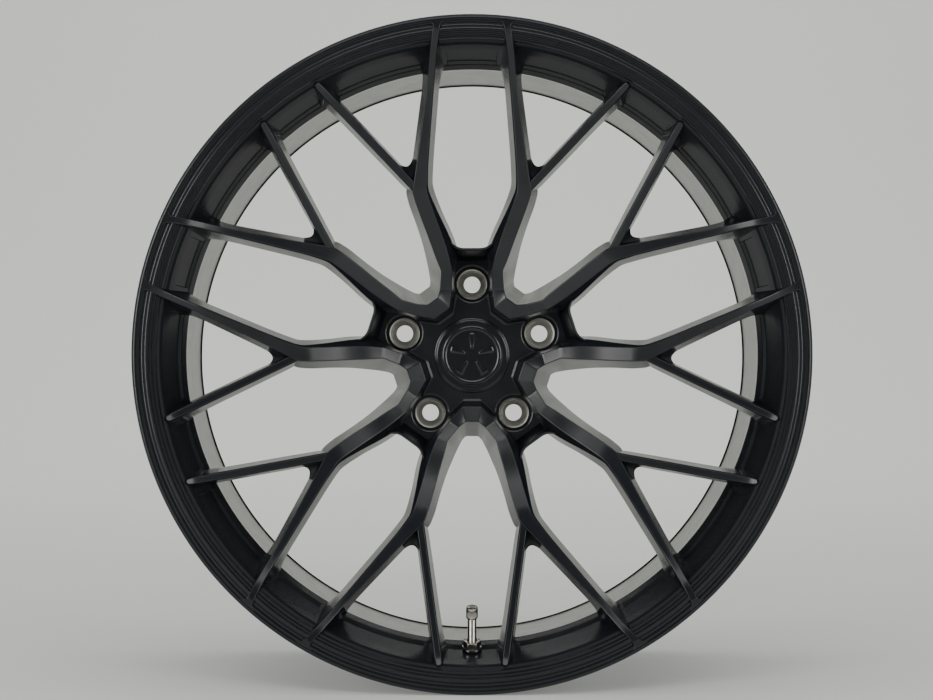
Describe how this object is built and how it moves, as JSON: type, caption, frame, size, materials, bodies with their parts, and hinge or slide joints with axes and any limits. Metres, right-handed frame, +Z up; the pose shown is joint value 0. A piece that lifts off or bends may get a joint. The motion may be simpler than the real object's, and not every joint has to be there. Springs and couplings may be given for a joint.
{
  "type": "forged racing wheel rim",
  "caption": "Deep concave forged wheel rim with forked Y-shaped arms, terraced lip, recessed lug seats, push-in centre cap and metal tyre valve.",
  "frame": {"origin": "centre of the rim, halfway between the two flanges, on the spin axis", "axes": "the spin axis is Y and the front face looks along -Y; +Z is up through one lug hole, +X is to the right seen from the front"},
  "size_m": [0.5934, 0.291, 0.5934],
  "materials": {
    "forging_paint": "satin black paint on forged aluminium",
    "seat_steel": "turned bare steel",
    "cap_plastic": "satin",
    "emblem": "satin dark anodised",
    "rubber": "matte",
    "valve_metal": "nickel plated",
    "valve_brass": "bare brass"
  },
  "bodies": {
    "forging": {"rim_front_lip": "forging_paint", "rim_well": "forging_paint", "rim_well_ramp": "forging_paint", "rim_barrel": "forging_paint", "rim_rear_flange": "forging_paint", "hub_lug_1": "forging_paint", "hub_rib_1": "forging_paint", "hub_lug_2": "forging_paint", "hub_rib_2": "forging_paint", "hub_lug_3": "forging_paint", "hub_rib_3": "forging_paint", "hub_lug_4": "forging_paint", "hub_rib_4": "forging_paint", "hub_lug_5": "forging_paint", "hub_rib_5": "forging_paint", "spoke_1_right": "forging_paint", "branch_1_right": "forging_paint", "spoke_1_left": "forging_paint", "branch_1_left": "forging_paint", "spoke_2_right": "forging_paint", "branch_2_right": "forging_paint", "spoke_2_left": "forging_paint", "branch_2_left": "forging_paint", "spoke_3_right": "forging_paint", "branch_3_right": "forging_paint", "spoke_3_left": "forging_paint", "branch_3_left": "forging_paint", "spoke_4_right": "forging_paint", "branch_4_right": "forging_paint", "spoke_4_left": "forging_paint", "branch_4_left": "forging_paint", "spoke_5_right": "forging_paint", "branch_5_right": "forging_paint", "spoke_5_left": "forging_paint", "branch_5_left": "forging_paint", "lug_seat_1": "seat_steel", "lug_seat_2": "seat_steel", "lug_seat_3": "seat_steel", "lug_seat_4": "seat_steel", "lug_seat_5": "seat_steel", "valve_grommet": "rubber", "valve_stem": "valve_metal", "valve_washer": "valve_metal", "valve_nut": "valve_metal", "valve_core": "valve_brass"},
    "center_cap": {"center_cap": "cap_plastic", "center_cap_emblem": "emblem", "center_cap_ring": "rubber"},
    "valve_pin": {"valve_core_pin": "valve_brass"},
    "valve_cap_seal": {"valve_cap_seal": "rubber"},
    "valve_cap": {"valve_cap": "valve_metal"}
  },
  "joints": [
    {"name": "center_cap_pull", "type": "slide", "parent": "forging", "child": "center_cap", "axis": [0, -1, 0], "range_m": [0, 0.03]},
    {"name": "valve_pin_press", "type": "slide", "parent": "forging", "child": "valve_pin", "axis": [0, 0.3843, -0.9232], "range_m": [0, 0.0015], "stiffness_N_per_m": 1200, "springref_m": -0.002},
    {"name": "valve_cap_travel", "type": "slide", "parent": "forging", "child": "valve_cap_seal", "axis": [0, -0.3843, 0.9232], "range_m": [0, 0.00397]},
    {"name": "valve_cap_turn", "type": "hinge", "parent": "valve_cap_seal", "child": "valve_cap", "pos_m": [0, -0.1055, -0.2605], "axis": [0, -0.3843, 0.9232], "range_deg": [0, 1800.5]}
  ],
  "couplings": [
    {"joint": "valve_cap_turn", "follows": "valve_cap_travel", "rad_per_m": 7913.3}
  ]
}
